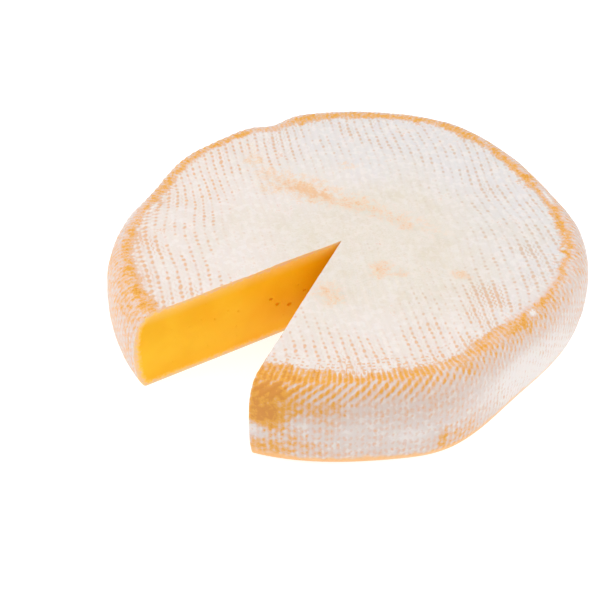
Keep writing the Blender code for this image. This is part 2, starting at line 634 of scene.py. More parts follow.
    def press(self, obj: bpy.types.Object) -> None:
        """Moves the round wheel's points to the uneven outline, and prints the cloth's relief.

        Args:
            obj: The turned wheel, with its maps.
        """
        x, y, z = points_of(obj).T
        angle = np.arctan2(y, x)
        down = self.section.down(np.hypot(x, y), z)
        scale = self.outline.radius_at(angle, z) / self.outline.radius
        x, y = x * scale, y * scale
        z = z + self.lift(x, y, z)
        smooth_form = np.column_stack([x, y, z])
        centre = 0.5 * (smooth_form.min(axis=0) + smooth_form.max(axis=0))
        self.middle = Vector((centre[0], centre[1], 0.0))
        move_points(obj, smooth_form)
        relief = ClothRelief().height(x / MM, y / MM, z / MM, angle, down / MM)
        pressed = smooth_form + normals_of(obj) * (relief * MM)[:, None]
        pressed[:, 2] = np.maximum(pressed[:, 2], 0.0)
        move_points(obj, pressed)

    def lift(self, x: np.ndarray, y: np.ndarray, z: np.ndarray) -> np.ndarray:
        """How far the top stands over or under a flat one.

        Args:
            x: Places in plan.
            y: Places in plan.
            z: Heights on the flat wheel.

        Returns:
            Heights over the flat wheel: nothing below the shoulder.
        """
        heading = math.radians(self.swell_heading_deg)
        along = x * math.cos(heading) + y * math.sin(heading)
        sag = -self.sag * np.exp(-0.5 * (x * x + y * y) / self.sag_radius**2)
        swell = self.swell * np.cos(math.tau * along / self.swell_length)
        thickness = self.section.thickness
        return (sag + swell) * smooth(z, self.swell_from * thickness, thickness)


@dataclass(frozen=True)
class ClothRelief:
    """What the draining cloth left in the rind, in millimetres over the smooth wheel.

    A fade is the two places between which a form comes or goes: heights for the foot's, and ways
    down the skin for the others.
    """

    lumps: Ripples = Ripples(11, 26.0, 0.20)
    pebbles: Ripples = Ripples(12, 6.0, 0.05)
    crease_depth: float = 0.30
    crease_width: float = 2.2
    thread: float = 0.07
    band_thread: float = 0.22
    foot_fade: Pair = (0.2, 4.0)
    rim_fade: Pair = (-1.0, -4.0)
    middle_fade: Pair = (-75.0, -30.0)
    band_start: Pair = (-4.0, -1.5)
    band_end: Pair = (10.0, 6.0)
    crease_fade: Pair = (-1.0, -5.0)
    crease_path: tuple[Pair, ...] = (
        (-36.0, 47.0), (-26.0, 34.0), (-11.7, 22.9), (2.9, 15.8), (16.0, 8.5), (31.0, -0.5)
    )

    def height(
        self, x: np.ndarray, y: np.ndarray, z: np.ndarray, angle: np.ndarray, down: np.ndarray
    ) -> np.ndarray:
        """The relief at some points of the skin.

        Args:
            x: Places in plan, in millimetres, as are the next two.
            y: Places in plan.
            z: Heights.
            angle: Angles round the axis, in radians.
            down: The way along the skin from the plateau's edge, in millimetres.

        Returns:
            Millimetres along the skin's normal.
        """
        points = np.column_stack([x, y, z])
        foot = smooth(z, *self.foot_fade)
        uneven = self.lumps.at(points) * foot + self.pebbles.at(points) * foot
        on_top = smooth(down, *self.rim_fade) * smooth(down, *self.middle_fade)
        columns, _ = Weave.counts(x, y)
        threads = self.thread * np.cos(math.tau * columns) * on_top
        shoulder = smooth(down, *self.band_start) * smooth(down, *self.band_end)
        band = -self.band_thread * Weave.slanted(angle, down) * shoulder
        crease = -self.crease_depth * self.crease(x, y) * smooth(down, *self.crease_fade)
        return uneven + threads + band + crease

    def crease(self, x: np.ndarray, y: np.ndarray) -> np.ndarray:
        """1 in the fold that crosses the top, 0 away from it.

        Args:
            x: Places in plan, in millimetres.
            y: Their other half, in millimetres.

        Returns:
            One number for each point.
        """
        nearest = np.full(len(x), np.inf)
        for (ax, ay), (bx, by) in zip(self.crease_path, self.crease_path[1:]):
            length2 = (bx - ax) ** 2 + (by - ay) ** 2
            share = np.clip(((x - ax) * (bx - ax) + (y - ay) * (by - ay)) / length2, 0.0, 1.0)
            away = (x - ax - share * (bx - ax)) ** 2 + (y - ay - share * (by - ay)) ** 2
            nearest = np.minimum(nearest, away)
        return np.exp(-0.5 * nearest / self.crease_width**2)


class Weave:
    """Where the cloth's threads lay: pitches in millimetres, and the counts round the side.

    On the side, upright threads cross slanted ones, so that what stands between them is a
    lattice of dots. On the right the cloth was pulled, and the slanted threads stand steeper.
    """

    COLUMN_PITCH = 2.75
    ROW_PITCH = 2.15
    LEAN = math.radians(12.0)
    COLUMN_DRIFT = Ripples(21, 55.0, 1.1)
    ROW_DRIFT = Ripples(22, 40.0, 1.1)
    UPRIGHTS = 265
    SLANTED = 146
    SLANT = 0.352
    STEEP = 172
    STEEP_SLANT = 0.273
    ACROSS = 3.1
    HEM_PITCH = 1.35
    THINNESS = 1.5
    PULLED = (0.0, 34.0)

    @classmethod
    def counts(cls, x: np.ndarray, y: np.ndarray) -> tuple[np.ndarray, np.ndarray]:
        """The counts of thread columns and rows across the top, at places in millimetres.

        Args:
            x: Places in plan, in millimetres.
            y: Their other half, in millimetres.

        Returns:
            How many columns and how many rows lie before each place.
        """
        points = np.column_stack([x, y, np.zeros_like(x)])
        x = x + cls.COLUMN_DRIFT.at(points)
        y = y + cls.ROW_DRIFT.at(points)
        columns = (x * math.cos(cls.LEAN) + y * math.sin(cls.LEAN)) / cls.COLUMN_PITCH
        rows = (y * math.cos(cls.LEAN) - x * math.sin(cls.LEAN)) / cls.ROW_PITCH
        return columns, rows

    @classmethod
    def slanted(cls, angle: np.ndarray, down: np.ndarray) -> np.ndarray:
        """How near a slanted thread lay, from 0 between two threads to 1 under one.

        Args:
            angle: Angles round the axis, in radians.
            down: The way along the skin from the plateau's edge, in millimetres.

        Returns:
            One number for each point.
        """
        front = cls.SLANTED * angle / math.tau + cls.SLANT * down
        steep = cls.STEEP * angle / math.tau + cls.STEEP_SLANT * down
        share = bell(angle, *cls.PULLED)
        waves = (1.0 - share) * np.cos(math.tau * front) + share * np.cos(math.tau * steep)
        return (0.5 + 0.5 * waves) ** cls.THINNESS


# ------------------------------------------------------------------ the knife


@dataclass
class Knife:
    """The wedge-shaped block that the knife took out, with its faint drag marks."""

    cut: Cut = field(default_factory=Cut)
    section: Section = field(default_factory=Section)
    step: float = 1.1 * MM
    streaks: Ripples = Ripples(31, 9.0 * MM, 0.05 * MM)
    streak_stretch: tuple[float, float, float] = (0.25, 1.0, 1.0)
    streak_start: float = 4.0 * MM
    faces_apart: float = 40.0 * MM

    def build(self) -> bpy.types.Object:
        """Bends a grid into the two cut faces and closes it behind.

        Returns:
            The closed cutter.
        """
        columns = round(self.cut.reach / self.step)
        height = self.section.thickness + 2.0 * self.cut.clearance
        rows = round(height / self.step)
        deselect()
        bpy.ops.mesh.primitive_grid_add(
            x_subdivisions=2 * columns, y_subdivisions=rows, size=2.0
        )
        obj = bpy.context.object
        obj.name = obj.data.name = "knife"
        grid = points_of(obj)
        along = np.abs(grid[:, 0]) * self.cut.reach
        left = grid[:, 0] < 0.0
        angle = np.where(left, math.radians(self.cut.left_deg), math.radians(self.cut.right_deg))
        z = (grid[:, 1] * 0.5 + 0.5) * height - self.cut.clearance
        x = self.cut.point[0] + along * np.cos(angle)
        y = self.cut.point[1] + along * np.sin(angle)
        places = np.column_stack([along, z, np.where(left, 0.0, self.faces_apart)])
        streaks = self.streaks.at(places * self.streak_stretch)
        push = np.where(left, 1.0, -1.0) * streaks * smooth(along, 0.0, self.streak_start)
        x -= push * np.sin(angle)
        y += push * np.cos(angle)
        move_points(obj, np.column_stack([x, y, z]))
        activate(obj)
        far = along > self.cut.reach - 0.5 * self.step
        pick_edges(obj, far)
        bpy.ops.mesh.bridge_edge_loops()
        bpy.ops.mesh.select_all(action="SELECT")
        bpy.ops.mesh.fill_holes(sides=0)
        bpy.ops.mesh.select_all(action="SELECT")
        bpy.ops.mesh.normals_make_consistent(inside=False)
        bpy.ops.object.mode_set(mode="OBJECT")
        return obj


@dataclass
class Eyes:
    """The holes that gas left in the paste, as balls that are taken out of the cut faces.

    The pinholes' ranges are in millimetres.
    """

    cut: Cut = field(default_factory=Cut)
    fineness: int = 3
    half_height: float = 0.4
    pinholes: int = 26
    pinhole_seed: int = 5
    pinhole_reach: Pair = (5.0, 66.0)
    pinhole_height: Pair = (3.0, 24.5)
    pinhole_width: Pair = (0.35, 0.8)
    pinhole_depth: float = 0.45

    def build(self) -> bpy.types.Object:
        """Places a flattened ball for each eye and joins them.

        Returns:
            The balls as one cutter.
        """
        deselect()
        made = []
        for angle_deg, eyes in ((self.cut.left_deg, LEFT_EYES), (self.cut.right_deg, RIGHT_EYES)):
            made += [self.ball(angle_deg, eye, self.fineness) for eye in eyes]
            made += [self.ball(angle_deg, eye, 1) for eye in self.scatter(int(angle_deg), eyes)]
        return join(made, "eyes")

    def scatter(self, salt: int, taken: tuple[Eye, ...]) -> list[Eye]:
        """Draws pinholes that keep clear of the larger eyes and of each other.

        Args:
            salt: What sets this face's draw apart.
            taken: The face's larger eyes.

        Returns:
            The pinholes.
        """
        rng = np.random.default_rng(self.pinhole_seed + salt)
        kept = list(taken)
        while len(kept) < len(taken) + self.pinholes:
            reach = rng.uniform(*self.pinhole_reach) * MM
            height = rng.uniform(*self.pinhole_height) * MM
            width = rng.uniform(*self.pinhole_width) * MM
            if all(math.hypot(reach - e.reach, height - e.height) > e.width + width for e in kept):
                kept.append(Eye(reach, height, width, self.pinhole_depth * width))
        return kept[len(taken) :]

    def ball(self, angle_deg: float, eye: Eye, fineness: int) -> bpy.types.Object:
        """One eye's ball, its place and size applied to its mesh.

        Args:
            angle_deg: The cut face's heading.
            eye: Its place and size.
            fineness: How often the ball is subdivided.

        Returns:
            The ball.
        """
        angle = math.radians(angle_deg)
        place = (
            self.cut.point[0] + eye.reach * math.cos(angle),
            self.cut.point[1] + eye.reach * math.sin(angle),
            eye.height,
        )
        bpy.ops.mesh.primitive_ico_sphere_add(
            subdivisions=fineness, radius=1.0, location=place, rotation=(0.0, 0.0, angle)
        )
        obj = bpy.context.object
        obj.scale = (0.5 * eye.width, eye.depth, self.half_height * eye.width)
        bpy.ops.object.transform_apply(location=True, rotation=True, scale=True)
        return obj


# ------------------------------------------------------------------ where the rind is rubbed, and its painted shade and light


@dataclass(frozen=True)
class Places:
    """Points of the rind, in millimetres: in plan, in height, and along the skin."""

    x: np.ndarray
    y: np.ndarray
    z: np.ndarray
    angle: np.ndarray
    down: np.ndarray

    def stack(self) -> np.ndarray:
        """The points as rows of x, y and z."""
        return np.column_stack([self.x, self.y, self.z])


@dataclass(frozen=True)
class Band:
    """The rubbed band on the shoulder at one angle.

    It has its two edges along the skin, its strength, and the line at which the slanted
    threads' white grooves begin.
    """

    angle_deg: float
    inner: float
    outer: float
    strength: float
    threads: float = 1.0


class BandValue(Enum):
    """Which of a band's values is wanted."""

    INNER = "inner"
    OUTER = "outer"
    STRENGTH = "strength"
    THREADS = "threads"


@dataclass(frozen=True)
class Patch:
    """A patch of the side: its middle as angle and way down, its half sizes, and its strength."""

    angle_deg: float
    down: float
    spread_deg: float
    spread: float
    strength: float

    def over(self, place: Places) -> np.ndarray:
        """The patch's strength at some points."""
        level = self.strength * bell(place.angle, self.angle_deg, self.spread_deg)
        return level * np.exp(-0.5 * ((place.down - self.down) / self.spread) ** 2)


@dataclass(frozen=True)
class Blot:
    """A patch of the top: its middle in plan, its half size, and its strength."""

    x: float
    y: float
    spread: float
    strength: float

    def over(self, place: Places) -> np.ndarray:
        """The blot's strength at some points."""
        away = (place.x - self.x) ** 2 + (place.y - self.y) ** 2
        return self.strength * np.exp(-0.5 * away / self.spread**2)


@dataclass(frozen=True)
class WearAndPaintedLight:
    """How far the white bloom is rubbed off the orange rind, and where shade and light are painted
    on it; all lengths in millimetres.

    An edge, a fade, a span, a start or an end is the two places between which something comes or
    goes. The fades are heights, the toe's and the back right shade's spans are places in plan, the
    cream's reach is in half sizes of its blot, and the others are ways down the skin. A bell is an
    angle and a spread, both in degrees.
    """

    bands: tuple[Band, ...] = rows_of(
        Band,
        (0.0, -2.2, 0.8, 0.82), (9.0, -2.0, 0.6, 0.74), (12.0, -1.4, 0.6, 0.66),
        (22.0, -1.8, 0.4, 0.76), (31.0, -2.0, 0.8, 0.80), (38.0, -1.8, 1.2, 0.74),
        (50.0, -2.4, 1.8, 0.76), (65.0, -2.0, 2.8, 0.70), (76.0, -1.8, 2.0, 0.74),
        (90.0, -2.6, 1.6, 0.72), (103.0, -3.2, 1.2, 0.74), (109.0, -1.8, 2.0, 0.54),
        (116.0, -1.6, 3.4, 0.54), (124.0, -1.1, 4.0, 0.76), (140.0, -1.0, 3.4, 0.72),
        (155.0, -1.3, 2.6, 0.74), (164.0, -2.2, 1.6, 0.76), (170.0, -1.2, 0.6, 0.60),
        (180.0, -1.3, 1.6, 0.72, 1.6), (190.0, -1.6, 1.4, 0.72, 1.4), (203.0, -2.2, 1.8, 0.76, 1.8),
        (211.0, -1.8, 3.0, 0.76, 2.6), (229.0, -3.0, 5.0, 0.82, 2.0), (247.0, -4.2, 6.0, 0.94, 1.6),
        (258.0, -4.2, 5.6, 0.92, 1.6), (266.0, -3.0, 5.2, 0.88, 1.2), (273.0, -1.8, 5.2, 0.86, 0.8),
        (280.0, -3.6, 5.2, 0.86, 0.8), (296.0, -2.6, 4.6, 0.76, 0.4), (304.0, -2.6, 4.6, 0.76, 1.6),
        (312.0, -2.6, 5.2, 0.64, 3.0), (320.0, 0.8, 6.6, 0.78, 4.6), (328.0, 1.2, 5.6, 0.74, 3.8),
        (338.0, 0.8, 2.8, 0.66, 2.0), (348.0, -1.0, 1.0, 0.66, 1.0),
    )
    patches: tuple[Patch, ...] = rows_of(
        Patch,
        (251.5, 9.0, 4.2, 5.5, 0.58), (250.0, 15.0, 3.4, 4.0, 0.24), (250.0, 27.0, 5.0, 2.6, 0.42),
        (263.0, 9.0, 5.0, 2.4, 0.26), (259.0, 23.5, 5.0, 3.0, 0.20), (264.0, 15.0, 3.5, 3.0, 0.12),
        (290.8, 24.0, 0.8, 3.0, 0.34), (296.0, 24.0, 4.0, 2.4, 0.24), (293.0, 28.5, 5.0, 1.6, 0.18),
        (303.0, 28.0, 5.0, 1.8, 0.10), (248.0, 19.0, 1.6, 1.8, -0.50),
        (259.0, 15.5, 1.6, 1.4, -0.30), (268.0, 17.0, 5.0, 3.0, -0.18),
        (283.0, 21.0, 4.0, 3.0, -0.20), (325.0, 2.6, 1.0, 0.9, -0.90), (0.0, -0.6, 1.0, 0.6, -0.50),
        (17.0, 0.8, 2.4, 0.5, -0.45), (46.0, 0.6, 1.6, 0.6, -0.40), (167.5, -3.5, 3.0, 0.5, 0.60),
        (167.5, -2.3, 3.0, 0.5, -0.50), (322.0, 18.5, 17.0, 7.0, -0.28),
        (316.0, 8.0, 13.0, 3.0, 0.10), (313.0, 15.0, 7.0, 5.0, -0.14),
        (350.0, 8.0, 8.0, 4.0, -0.03), (330.0, 28.0, 15.0, 4.0, -0.34),
        (3.0, 11.0, 8.0, 4.5, -0.30), (172.0, 4.5, 5.0, 1.6, -0.30), (202.0, 5.0, 5.0, 2.5, 0.14),
        (178.0, 13.0, 10.0, 7.0, 0.07), (30.0, 14.0, 14.0, 8.0, 0.14),
        (80.0, 19.0, 16.0, 6.0, 0.15), (140.0, 15.0, 12.0, 6.0, 0.12),
    )
    blots: tuple[Blot, ...] = rows_of(
        Blot,
        (10.0, -16.7, 2.4, 0.50), (15.8, -19.7, 1.7, 0.46), (9.0, -20.0, 1.5, 0.40),
        (34.0, -19.8, 1.5, 0.48), (36.5, -21.6, 1.1, 0.42), (-7.5, -28.3, 3.0, 0.38),
        (-4.5, -33.0, 2.4, 0.26), (0.8, 37.5, 2.4, 0.20), (-11.5, 23.0, 4.2, 0.32),
        (-18.0, 27.0, 3.2, 0.14), (-25.0, 24.5, 2.8, 0.30), (-31.0, 41.5, 1.6, 0.34),
        (-26.0, 33.0, 2.6, 0.10), (3.3, 15.8, 3.2, 0.20), (20.0, 6.0, 4.0, 0.10),
        (-8.0, 18.0, 2.6, 0.14),
    )
    dots: tuple[Blot, ...] = rows_of(
        Blot,
        (-62.0, 3.0, 10.0, 0.26), (-60.0, -16.0, 8.0, 0.18), (-60.0, -30.0, 8.0, 0.26),
        (-48.0, -26.0, 8.0, 0.18), (-54.0, 24.0, 12.0, 0.10), (-18.0, 61.0, 6.0, 0.44),
        (-33.0, 55.0, 9.0, 0.16), (0.0, 58.0, 8.0, 0.12), (43.0, -33.0, 6.5, 1.10),
        (30.0, -46.0, 9.0, 0.12), (12.0, -58.0, 10.0, 0.14), (-8.0, -56.0, 9.0, 0.20),
        (-14.0, -38.0, 6.0, 0.10), (-1.0, -43.0, 8.0, -0.46), (57.0, -14.0, 8.0, 0.22),
        (62.0, -2.0, 6.0, 0.16), (56.0, 22.0, 12.0, 0.10),
    )
    front_bell: Pair = (272.0, 26.0)
    left_bell: Pair = (190.0, 26.0)
    under_foot: Pair = (38.0, 33.0)
    top_edge: Pair = (0.3, -2.2)
    base_start: Pair = (32.0, 35.0)

    print_middle: float = 0.18
    print_rim: float = 1.00
    print_span: Pair = (-39.0, -6.0)
    print_foot: float = 31.5
    print_ripples: Ripples = Ripples(45, 11.0, 0.50)

    rags: tuple[Ripples, ...] = (Ripples(41, 6.0, 0.5), Ripples(47, 2.4, 0.4))
    inner_edge: Pair = (-1.2, 0.8)
    outer_edge: Pair = (1.8, -1.2)
    halo_edge: Pair = (-5.0, -0.5)
    halo: float = 0.20
    side_level: float = 0.54
    side_edge: Pair = (0.0, 2.0)
    side_ripples: Ripples = Ripples(42, 14.0, 0.07)
    base_level: float = 0.14
    base_edge: Pair = (31.0, 33.0)

    foot_level: float = 0.12
    foot_front: float = 0.22
    foot_bell: Pair = (268.0, 24.0)
    foot_fade: Pair = (2.8, 1.2)
    # Painted light along the foot's edge, and on its toe:
    lit_least: float = 0.35
    lit_bell: Pair = (272.0, 34.0)
    lit_fade: Pair = (4.2, 2.0)
    lit_ripples: Ripples = Ripples(48, 4.0, 0.5)
    toe_fade: Pair = (1.8, 0.3)
    toe_span: Pair = (-6.0, 20.0)
    hem_start: Pair = (-10.5, -7.5)
    hem_end: Pair = (-2.0, -4.0)
    hem_bell: Pair = (272.0, 24.0)

    cream: Blot = Blot(8.0, -6.0, 32.0, 1.0)
    cream_reach: Pair = (1.7, 0.5)
    cream_ripples: Ripples = Ripples(44, 26.0, 8.0)
    # Painted shade: the top darker and greyer towards the back and the right.
    back_right_shade_heading_deg: float = 40.0
    back_right_shade_span: Pair = (-15.0, 50.0)
    back_right_shade_ripples: Ripples = Ripples(46, 30.0, 6.0)

    tint_edge: Pair = (0.0, -3.0)
    crease_stain: float = 0.26
    crease_width: float = 3.4
    crease_ripples: Ripples = Ripples(43, 12.0, 0.5)
    crease_least: float = 0.45
    crease_middle: Blot = Blot(-10.0, 22.0, 15.0, 0.55)

    def marks(self, place: Places) -> dict[str, np.ndarray]:
        """Every value that the rind's finish reads, by its name on the mesh.

        Args:
            place: The points of the rind.

        Returns:
            The values, one for each point under each name.
        """
        return {
            "wear": self.rubbed(place),
            "print": self.printed(place),
            "stain": self.stained(place),
            "tint": self.tinted(place),
            "cream": self.creamy(place),
            # Painted shade towards the back and the right.
            "back_right_shade": self.back_right_shading(place),
            "beneath": place.down - self.station(place, BandValue.THREADS),
            # The foot and toe marks are painted light along the foot's edge.
            "foot": self.lit_foot(place),
            "toe_light": self.lit_toe(place),
            "hem": self.hemmed(place),
            "flat": smooth(place.down, *self.top_edge) + smooth(place.down, *self.base_start),
            "right": bell(place.angle, *Weave.PULLED),
            "left": bell(place.angle, *self.left_bell),
            "front": bell(place.angle, *self.front_bell),
        }

    def station(self, place: Places, wanted: BandValue) -> np.ndarray:
        """One of the band's values at the points' angles, drawn evenly from band to band.

        Args:
            place: The points of the rind.
            wanted: Which of a band's values it is.

        Returns:
            One number for each point.
        """
        angles = [band.angle_deg for band in self.bands]
        values = [getattr(band, wanted.value) for band in self.bands]
        return np.interp(np.degrees(place.angle), angles, values, period=360.0)

    def printed(self, place: Places) -> np.ndarray:
        """How strongly the threads' dots show on the flat faces, from 0 to about 1.

        Args:
            place: The points of the rind.

        Returns:
            One number for each point.
        """
        down = place.down
        inward = np.where(down > self.print_foot, self.print_foot - down, down)
        level = smooth(inward, *self.print_span)
        level = self.print_middle + (self.print_rim - self.print_middle) * level
        for dot in self.dots:
            level += dot.over(place)
        return level * (1.0 + self.print_ripples.at(place.stack()))

    def rubbed(self, place: Places) -> np.ndarray:
        """How far the shoulder and the side are rubbed: 0 where the bloom is whole, to about 1.

        Args:
            place: The points of the rind.

        Returns:
            One number for each point.
        """
        points = place.stack()
        edge = place.down + sum(rag.at(points) for rag in self.rags)
        from_inner = edge - self.station(place, BandValue.INNER)
        from_outer = edge - self.station(place, BandValue.OUTER)
        band = (1.0 - self.halo) * smooth(from_inner, *self.inner_edge)
        band += self.halo * smooth(from_inner, *self.halo_edge)
        band *= smooth(from_outer, *self.outer_edge)
        level = self.side_level * smooth(place.down, *self.side_edge)
        level += self.side_ripples.at(points)
        level += (self.station(place, BandValue.STRENGTH) - level) * band
        return level + (self.base_level - level) * smooth(place.down, *self.base_edge)

    def creamy(self, place: Places) -> np.ndarray:
        """How cream the bloom is: 1 in the middle of the top, 0 near its rim.

        Args:
            place: The points of the rind.

        Returns:
            One number for each point.
        """
        away = np.hypot(place.x - self.cream.x, place.y - self.cream.y)
        away += self.cream_ripples.at(place.stack())
        far, near = (reach * self.cream.spread for reach in self.cream_reach)
        return smooth(away, far, near)

    def back_right_shading(self, place: Places) -> np.ndarray:
        """Painted shade, darker and greyer: 1 towards the back and the right, 0 at the front left.

        Args:
            place: The points of the rind.

        Returns:
            One number for each point.
        """
        heading = math.radians(self.back_right_shade_heading_deg)
        along = place.x * math.cos(heading) + place.y * math.sin(heading)
        return smooth(along + self.back_right_shade_ripples.at(place.stack()), *self.back_right_shade_span)

    def stained(self, place: Places) -> np.ndarray:
        """Orange stain without threads, or, below zero, white mould that covers them.

        Args:
            place: The points of the rind.

        Returns:
            One number for each point.
        """
        level = np.zeros_like(place.x)
        for patch in self.patches:
            level += patch.over(place)
        line = self.foot_level + self.foot_front * bell(place.angle, *self.foot_bell)
        return level + line * smooth(place.z, *self.foot_fade) * self.above_base(place)

    def above_base(self, place: Places) -> np.ndarray:
        """1 on the side and at the foot, 0 on the base's middle."""
        return smooth(place.down, *self.under_foot)

    def lit_foot(self, place: Places) -> np.ndarray:
        """Painted light along the foot's edge: how bright it is, strongest at the front.

        Args:
            place: The points of the rind.

        Returns:
            One number for each point.
        """
        ragged = place.z + self.lit_ripples.at(place.stack())
        share = self.lit_least + (1.0 - self.lit_least) * bell(place.angle, *self.lit_bell)
        return share * smooth(ragged, *self.lit_fade) * self.above_base(place)

    def lit_toe(self, place: Places) -> np.ndarray:
        """Painted light on the lowest edge of the foot: how pale it is, only towards the right."""
        right = smooth(place.x, *self.toe_span)
        return smooth(place.z, *self.toe_fade) * self.above_base(place) * right

    def hemmed(self, place: Places) -> np.ndarray:
        """Where the cloth's hem printed close lines on the top, near the front rim."""
        strip = smooth(place.down, *self.hem_start) * smooth(place.down, *self.hem_end)
        return strip * bell(place.angle, *self.hem_bell)

    def tinted(self, place: Places) -> np.ndarray:
        """How peach the top is in its blots and along the crease, from 0 to about 1.

        Args:
            place: The points of the rind.

        Returns:
            One number for each point.
        """
        level = np.zeros_like(place.x)
        for blot in self.blots:
            level += blot.over(place)
        crease = ClothRelief(crease_width=self.crease_width).crease(place.x, place.y)
        crease *= self.crease_least + self.crease_middle.over(place)
        uneven = 1.0 + self.crease_ripples.at(place.stack())
        level += self.crease_stain * crease * uneven
        return level * smooth(place.down, *self.tint_edge)


# ------------------------------------------------------------------ shader tools


class Maths(Enum):
    """What a Math node works out here."""

    SUM = "ADD"
    DIFFERENCE = "SUBTRACT"
    PRODUCT = "MULTIPLY"
    QUOTIENT = "DIVIDE"
    POWER = "POWER"
    COSINE = "COSINE"
    WHOLE = "ROUND"


class Signal:
    """A shader value that sums, products and powers can be written with."""

    def __init__(self, bench: "Bench", socket: bpy.types.NodeSocket | None) -> None:
        """Wraps an output socket of a node on the bench, or none for a node without outputs."""
        self.bench = bench
        self.socket = socket

    def combine(self, maths: Maths, *values: "Signal | float") -> "Signal":
        """Adds a Math node on these values."""
        settings = {"operation": maths.value}
        return self.bench.node("ShaderNodeMath", settings, dict(enumerate(values)))

    def __add__(self, other: "Signal | float") -> "Signal":
        """The sum."""
        return self.combine(Maths.SUM, self, other)

    def __radd__(self, other: float) -> "Signal":
        """The sum, from a number."""
        return self.combine(Maths.SUM, other, self)

    def __sub__(self, other: "Signal | float") -> "Signal":
        """The difference."""
        return self.combine(Maths.DIFFERENCE, self, other)

    def __rsub__(self, other: float) -> "Signal":
        """The difference, from a number."""
        return self.combine(Maths.DIFFERENCE, other, self)

    def __mul__(self, other: "Signal | float") -> "Signal":
        """The product."""
        return self.combine(Maths.PRODUCT, self, other)

    def __rmul__(self, other: float) -> "Signal":
        """The product, from a number."""
        return self.combine(Maths.PRODUCT, other, self)

    def __truediv__(self, other: "Signal | float") -> "Signal":
        """The quotient."""
        return self.combine(Maths.QUOTIENT, self, other)

    def __pow__(self, other: float) -> "Signal":
        """The power."""
        return self.combine(Maths.POWER, self, other)

    def cosine(self) -> "Signal":
        """The cosine of this many whole turns."""
        return self.combine(Maths.COSINE, self * math.tau)

    def ridge(self, power: float) -> "Signal":
        """Soft ridges: 1 at each whole number and 0 half way, the thinner the higher the power."""
        return (0.5 + 0.5 * self.cosine()) ** power

    def whole(self) -> "Signal":
        """The nearest whole number."""
        return self.combine(Maths.WHOLE, self)

    def rise(self, low: float, high: float) -> "Signal":
        """A soft rise from 0 at low to 1 at high, or a fall where high is the lower.

        Args:
            low: The level at which the result is 0.
            high: The level at which it is 1.

        Returns:
            The rise, from 0 to 1.
        """
        if low > high:
            return 1.0 - self.rise(high, low)
        settings = {"interpolation_type": "SMOOTHSTEP"}
        sockets = {"Value": self, "From Min": low, "From Max": high}
        return self.bench.node("ShaderNodeMapRange", settings, sockets)


class Bench:
    """A material on the workbench, and the ways in which nodes are added to it."""

    def __init__(self, name: str) -> None:
        """Starts a material with an empty node tree.

        Args:
            name: The material's name.
        """
        self.material = bpy.data.materials.new(name)
        self.material.use_nodes = True
        self.tree = self.material.node_tree
        self.tree.nodes.clear()

    def node(
        self,
        kind: str,
        settings: dict[str, object] | None = None,
        sockets: dict[str | int, object] | None = None,
        output: str | int = 0,
    ) -> Signal:
        """Adds a node.

        Args:
            kind: The node's type.
            settings: Its properties, which are set first.
            sockets: What its inputs take: a Signal to link, or a value.
            output: Which of its outputs is wanted.

        Returns:
            That output.
        """
        made = self.tree.nodes.new(kind)
        for key, value in (settings or {}).items():
            setattr(made, key, value)
        for key, value in (sockets or {}).items():
            if isinstance(value, Signal):
                self.tree.links.new(value.socket, made.inputs[key])
            else:
                made.inputs[key].default_value = value
        return Signal(self, made.outputs[output] if made.outputs else None)

    def mix(self, share: "Signal | float", first: object, second: object) -> Signal:
        """A colour that goes from the first to the second."""
        sockets = {0: share, 6: first, 7: second}
        return self.node("ShaderNodeMix", {"data_type": "RGBA"}, sockets, 2)

    def noise(self, place: Signal, scale: float, detail: float = 2.0) -> Signal:
        """Smooth noise about 0.5 over a place in millimetres, scale times to each."""
        sockets = {"Vector": place, "Scale": scale, "Detail": detail}
        return self.node("ShaderNodeTexNoise", None, sockets)

    def mark(self, name: str) -> Signal:
        """One of the mesh's own point values."""
        return self.node("ShaderNodeAttribute", {"attribute_name": name}, None, "Fac")

    def place(self) -> Signal:
        """The place on the object, in millimetres.

        Returns:
            The place, as a vector.
        """
        where = self.node("ShaderNodeTexCoord", None, None, "Object")
        sockets = {0: where, "Scale": 1.0 / MM}
        return self.node("ShaderNodeVectorMath", {"operation": "SCALE"}, sockets)

    def map_pair(self, name: str) -> tuple[Signal, Signal]:
        """The two values of one of the mesh's UV maps.

        Args:
            name: The map's name.

        Returns:
            The first value and the second.
        """
        pair = self.node("ShaderNodeUVMap", {"uv_map": name})
        split = self.node("ShaderNodeSeparateXYZ", None, {0: pair})
        return split, Signal(self, split.socket.node.outputs[1])

    def cell(self, first: "Signal | float", second: "Signal | float", salt: float) -> Signal:
        """A random value from 0 to 1 for each pair of whole numbers.

        Args:
            first: A whole number.
            second: Another whole number.
            salt: What sets this draw apart from others.

        Returns:
            The random value.
        """
        sockets = {0: first, 1: second, 2: salt}
        pair = self.node("ShaderNodeCombineXYZ", None, sockets)
        return self.node("ShaderNodeTexWhiteNoise", {"noise_dimensions": "3D"}, {"Vector": pair})

    def bump(self, height: Signal, depth: float, strength: float) -> Signal:
        """The surface's normal, roughened by a height from 0 to 1 times a depth."""
        sockets = {"Height": height, "Distance": depth, "Strength": strength}
        return self.node("ShaderNodeBump", None, sockets)

    def principled(self, sockets: dict[str | int, object]) -> bpy.types.Material:
        """Adds the Principled shader with these inputs, and the output.

        Args:
            sockets: The shader's inputs.

        Returns:
            The finished material.
        """
        shader = self.node("ShaderNodeBsdfPrincipled", None, sockets)
        self.node("ShaderNodeOutputMaterial", None, {"Surface": shader})
        return self.material

    def finish(
        self, colour: Signal, roughness: Signal, skin: "Skin", normal: Signal
    ) -> bpy.types.Material:
        """Closes the material of a food.

        Args:
            colour: Its colour.
            roughness: Its roughness.
            skin: How light sinks in and glances off.
            normal: Its surface's normal.

        Returns:
            The finished material.
        """
        return self.principled(
            {
                "Base Color": colour,
                "Roughness": roughness,
                "Normal": normal,
                "Subsurface Weight": skin.share,
                "Subsurface Radius": skin.colours,
                "Subsurface Scale": skin.depth,
                "Specular IOR Level": skin.shine,
            }
        )


